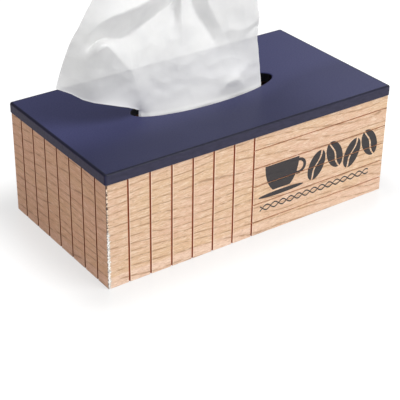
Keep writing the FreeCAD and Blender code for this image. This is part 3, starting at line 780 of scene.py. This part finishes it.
def tissue_foot(slot_row):
    """Rows from the slot down to the top of the pack, then back over the pack."""
    u = np.linspace(-1, 1, len(slot_row))
    foot = np.stack([
        u * FOOT_HALF_WIDTH,
        FOOT_DEPTH + FOOT_WAVE[0] * np.sin(u * FOOT_WAVE[1]),
        np.full(len(u), PACK_TOP + FOOT_HEIGHT),
    ], axis=1)
    rows = []
    for k in range(RISER_ROWS):
        t = k / RISER_ROWS
        turn = t * t * (3 - 2 * t) * t
        row = (1 - turn) * slot_row + turn * foot
        row[:, 2] = (1 - t) * slot_row[:, 2] + t * foot[:, 2]
        row[:, 1] += RISER_WAVE[0] * np.sin(u * RISER_WAVE[1] + 1) * math.sin(math.pi * t)
        rows.append(row)
    for k in range(TAIL_ROWS + 1):
        t = k / TAIL_ROWS
        row = foot.copy()
        row[:, 0] *= 1 + TAIL_WIDENING * t
        row[:, 1] += t * TAIL_LENGTH * (1 + TAIL_WAVE[0] * np.sin(u * TAIL_WAVE[1]))
        settled = FOOT_HEIGHT * (1 - min(1.0, t * 6)) ** 2
        ripple = TAIL_RIPPLE[0] * np.sin(u * TAIL_RIPPLE[1] + t * 5)
        row[:, 2] = PACK_TOP + settled + TAIL_HEIGHT + ripple
        rows.append(row)
    return rows


def pulled_tissue(material):
    """One sheet: the tissue above the slot, its foot in the slot and its tail on the pack."""
    above = crumple(sheet_points())
    slot_row = above[0, FLAP_COLUMNS:]
    # keep the sheet inside the slot
    for point in slot_row:
        share = point[0] / SLOT_HALF_LENGTH
        reach = SLOT_HALF_WIDTH * math.sqrt(max(0.0, 1 - share ** 2)) - SLOT_GAP
        point[1] = max(point[1], -reach)

    points, faces = [], []

    def add_row(row):
        points.extend(row)
        return list(range(len(points) - len(row), len(points)))

    def join_rows(low, high):
        for j in range(len(low) - 1):
            faces.append((low[j], low[j + 1], high[j + 1], high[j]))

    rows = [add_row(row) for row in above]
    for low, high in zip(rows, rows[1:]):
        join_rows(low, high)
    last = rows[0][FLAP_COLUMNS:]
    for row in tissue_foot(slot_row)[1:]:
        new = add_row(row)
        join_rows(new, last)
        last = new
    return add_mesh("pulled_sheet", points, faces, material)


# ---------------------------------------------------------------- the folded stack

STACK_LAYERS = 34
STACK_RING = 220
STACK_CORNER = 0.006
STACK_GAP = 0.0008
SIDE_INSET, SIDE_WAVE = 0.0004, 0.0009
# the top leaf: its swells, the fold along it, and how its edge and middle lie below the stack's top
TOP_SWELL, TOP_RIPPLE = 0.0014, 0.0006
FOLD_Y, FOLD_WIDTH, FOLD_DROP = 0.012, 0.0016, 0.0013
TOP_DROP, TOP_RISE, MIDDLE_DROP = 0.0024, 0.0016, 0.0008
# heights in a layer, as shares of it, and how far its side is set in there
LAYER_PROFILE = ((0.0, 0.0011), (0.22, 0.0002), (0.5, 0.0), (0.78, 0.0002))
TOP_RINGS = 26
CORNER_STEPS = 8


def rounded_outline(half_x, half_y, radius, count):
    """Points at even steps round a rectangle with round corners."""
    corners = (half_x, half_y), (-half_x, half_y), (-half_x, -half_y), (half_x, -half_y)
    line = []
    for quarter, (x, y) in enumerate(corners):
        centre = (x - math.copysign(radius, x), y - math.copysign(radius, y))
        for k in range(CORNER_STEPS + 1):
            angle = math.radians(90 * quarter + 90 * k / CORNER_STEPS)
            line.append((centre[0] + radius * math.cos(angle), centre[1] + radius * math.sin(angle)))
    line.append(line[0])
    return along_line(line, count + 1)[:-1]


def stack_side(outline, low, high):
    """Rings of points up the side: each fold shows as a soft level ridge."""
    middle = outline.mean(axis=0)
    thickness = (high.z - low.z) / STACK_LAYERS
    for layer in range(STACK_LAYERS):
        for part, inset in LAYER_PROFILE:
            z = low.z + (layer + part) * thickness
            bulge = math.sin(math.pi * (z - low.z) / (high.z - low.z))
            ring = []
            for x, y in outline:
                shift = noise.noise(Vector((x * 18, y * 18, layer * 3.7))) * SIDE_WAVE
                out = Vector((x - middle[0], y - middle[1])).normalized()
                push = -inset + shift - SIDE_INSET
                sag = noise.noise(Vector((x * 14, y * 14, layer * 0.45))) * SIDE_WAVE * bulge
                ring.append((x + out.x * push, y + out.y * push, z + sag))
            yield ring


def stack_top(outline, high):
    """Rings of points over the top leaf, with gentle swells and a fold line along its middle."""
    for step in range(TOP_RINGS):
        share = 1 - step / TOP_RINGS
        ring = []
        for x, y in outline:
            px, py = x * share, y * share
            swell = TOP_SWELL * noise.noise(Vector((px * 22, py * 40, 3.0)))
            swell += TOP_RIPPLE * noise.noise(Vector((px * 90, py * 120, 8.0)))
            off_fold = py - FOLD_Y + 0.002 * math.sin(px * 30)
            fold = -FOLD_DROP * math.exp(-(off_fold / FOLD_WIDTH) ** 2)
            edge = TOP_RISE * (1 - share ** 8)
            z = high.z - TOP_DROP + edge + (swell + fold) * (1 - share ** 6)
            ring.append((px, py, min(z, high.z)))
        yield ring


def folded_tissues(material):
    """A pack of folded tissues, closed by its top leaf."""
    low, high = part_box("tissue_pack")
    outline = rounded_outline(high.x - STACK_GAP, high.y - STACK_GAP, STACK_CORNER, STACK_RING)
    points, faces, rings = [], [], []
    for ring in (*stack_side(outline, low, high), *stack_top(outline, high)):
        rings.append(list(range(len(points), len(points) + STACK_RING)))
        points.extend(ring)
    for a, b in zip(rings, rings[1:]):
        for k in range(STACK_RING):
            n = (k + 1) % STACK_RING
            faces.append((a[k], a[n], b[n], b[k]))
    centre = len(points)
    points.append((0.0, 0.0, high.z - MIDDLE_DROP))
    for k in range(STACK_RING):
        faces.append((rings[-1][k], rings[-1][(k + 1) % STACK_RING], centre))
    faces.append(tuple(reversed(rings[0])))
    return add_mesh("folded_tissues", points, faces, material)


# ---------------------------------------------------------------- floor, lights and camera

FLOOR_HALF = 4.0
FLOOR_DROP = 0.0002
# how strongly the floor shines at the object, how much more away from it, and how far off that is; the
# weaker glow near the object is a painted shade around it
FLOOR_GLOW, FLOOR_WHITER, FLOOR_REACH = 0.60, 0.26, 0.055


def floor_material(name):
    """Pale floor, near white to the camera and in reflections. Off the object the camera sees it white;
    near it the glow is weaker, a painted shade.
    """
    s = Shader(name)
    rays = s.node("LightPath").outputs
    seen = s.most(rays["Is Camera Ray"], rays["Is Glossy Ray"], rays["Is Transmission Ray"])
    matt = s.node("BsdfDiffuse")
    matt.inputs["Color"].default_value = (0.82, 0.82, 0.82, 1)
    glazed = s.principled((0.26, 0.26, 0.26, 1), 0.25, Specular_IOR_Level=0.3)

    # only the camera sees the part that grows whiter; near the object it stays dimmer, a painted shade
    x, y, _ = s.split(s.place())
    past_end = s.most(s.minus(s.positive(x), HALF_LENGTH), 0)
    past_side = s.most(s.minus(s.positive(y), HALF_WIDTH), 0)
    whiter = s.step(s.length(past_end, past_side), 0.0, FLOOR_REACH, 0.0, FLOOR_WHITER)
    glow = s.node("Emission")
    glow.inputs["Color"].default_value = (1, 1, 1, 1)
    s.put(s.plus(s.times(whiter, rays["Is Camera Ray"]), FLOOR_GLOW), glow.inputs["Strength"])

    both = s.node("AddShader")
    s.put(glazed.outputs[0], both.inputs[0])
    s.put(glow.outputs[0], both.inputs[1])
    return s.end(s.blend(seen, matt, both))


def add_floor():
    half = FLOOR_HALF
    corners = [(-half, -half, 0), (half, -half, 0), (half, half, 0), (-half, half, 0)]
    floor = add_mesh("floor", corners, [(0, 1, 2, 3)], floor_material("pale_floor"), smooth=False)
    floor.location.z = -FLOOR_DROP


def add_world():
    """White to the camera, and dimmer as a light."""
    world = bpy.data.worlds.new("studio")
    bpy.context.scene.world = world
    world.use_nodes = True
    tree = world.node_tree
    tree.nodes.clear()
    rays = tree.nodes.new("ShaderNodeLightPath")
    either = tree.nodes.new("ShaderNodeMixShader")
    out = tree.nodes.new("ShaderNodeOutputWorld")
    tree.links.new(rays.outputs["Is Camera Ray"], either.inputs[0])
    for strength, socket in ((0.30, either.inputs[1]), (1.0, either.inputs[2])):
        white = tree.nodes.new("ShaderNodeBackground")
        white.inputs["Color"].default_value = (1, 1, 1, 1)
        white.inputs["Strength"].default_value = strength
        tree.links.new(white.outputs[0], socket)
    tree.links.new(either.outputs[0], out.inputs["Surface"])


def add_lamp(name, place, aim, size, watts):
    data = bpy.data.lights.new(name, "AREA")
    data.shape = "RECTANGLE"
    data.size, data.size_y = size
    data.energy = watts
    lamp = bpy.data.objects.new(name, data)
    bpy.context.scene.collection.objects.link(lamp)
    lamp.location = place
    lamp.rotation_euler = (Vector(aim) - Vector(place)).to_track_quat("-Z", "Y").to_euler()


def add_camera():
    data = bpy.data.cameras.new("camera")
    data.sensor_fit = "HORIZONTAL"
    data.sensor_width = SENSOR_MM
    data.lens = SENSOR_MM * FOCAL_PIXELS / PICTURE
    data.clip_start, data.clip_end = 0.01, 50
    camera = bpy.data.objects.new("camera", data)
    bpy.context.scene.collection.objects.link(camera)
    turned = Matrix((RIGHT, UP, -AHEAD)).transposed()
    camera.matrix_world = Matrix.Translation(EYE) @ turned.to_4x4()
    bpy.context.scene.camera = camera


# ---------------------------------------------------------------- assembly

bpy.context.scene.view_settings.view_transform = "Standard"
add_world()
add_floor()
add_lamp("key", (0.62, -1.20, 1.50), (0, 0, 0.06), (1.3, 1.3), 31)
add_lamp("top", (-0.55, -0.35, 1.7), (0, 0, 0.05), (1.0, 1.0), 9)
add_lamp("back_right", (1.25, 0.85, 0.76), (0, 0, 0.08), (0.7, 0.6), 1.4)
add_lamp("left_fill", (-1.6, -0.3, 0.7), (0, 0, 0.05), (0.8, 0.8), 1)
add_camera()

# where the first upright groove is along a long wall and an end wall, and the step to the next
long_first, end_first = CORNER_PLANK - HALF_LENGTH, END_CORNER_PLANK - HALF_WIDTH
long_grooves = long_first, (-MIDDLE_GROOVE - long_first) / GROOVE_STEPS
end_grooves = end_first, -2 * end_first / GROOVE_STEPS

# stain, sides of the upright grooves, and how pale their arrises are
pale = (1, 1, 1, 1), rgb(176, 104, 72), 0.45
warm = (0.865, 0.70, 0.618, 1), rgb(136, 72, 34), 0.25

finishes = {
    "front_veneer": wood_veneer("wood_front", "X", *long_grooves, *pale, printed=True),
    "back_veneer": wood_veneer("wood_back", "X", *long_grooves, *pale),
    "left_veneer": wood_veneer("wood_end", "Y", *end_grooves, *warm),
    "front_wall": wall_board("board"),
    "base_panel": base_board("board_base"),
    "lid_panel": painted_lid("navy_paint"),
    "hinges": black_steel("black_coat"),
}
finishes["right_veneer"] = finishes["left_veneer"]
for side in ("back", "left", "right"):
    finishes[f"{side}_wall"] = finishes["front_wall"]
for node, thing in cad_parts.items():
    if node in ("tissue_pack", "pulled_tissue"):
        continue
    finish = finishes["hinges"] if "hinge" in node else finishes[node]
    thing.data.materials.clear()
    thing.data.materials.append(finish)

stack = folded_tissues(tissue_paper("tissue_layers", 0.0))
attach(stack, "box")
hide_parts("tissue_pack")

tissue = pulled_tissue(tissue_paper("tissue_sheet", 0.115))
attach(tissue, "box")
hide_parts("pulled_tissue")
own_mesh(tissue)
